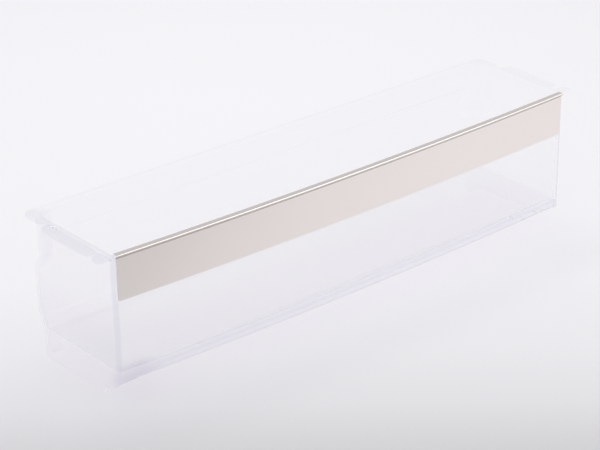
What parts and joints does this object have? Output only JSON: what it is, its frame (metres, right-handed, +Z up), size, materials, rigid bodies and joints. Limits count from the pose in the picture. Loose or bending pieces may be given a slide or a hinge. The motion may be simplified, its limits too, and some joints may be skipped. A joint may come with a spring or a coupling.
{
  "type": "fridge door shelf",
  "caption": "Long clear moulded fridge door shelf: an open tray with a bowed front, hanging ears, feet and hook pockets, and a metal strip folded over its front wall.",
  "frame": {"origin": "on the surface the shelf stands on, under the middle of its box", "axes": "+X along the length, +Y from the front wall to the rear wall, +Z up"},
  "size_m": [0.5106, 0.1205, 0.1268],
  "materials": {
    "clear_plastic": "clear, glossy, very slightly lavender",
    "strip_metal": "satin, champagne grey"
  },
  "bodies": {
    "root": {"tray": "clear_plastic", "trim_strip": "strip_metal"}
  },
  "joints": []
}
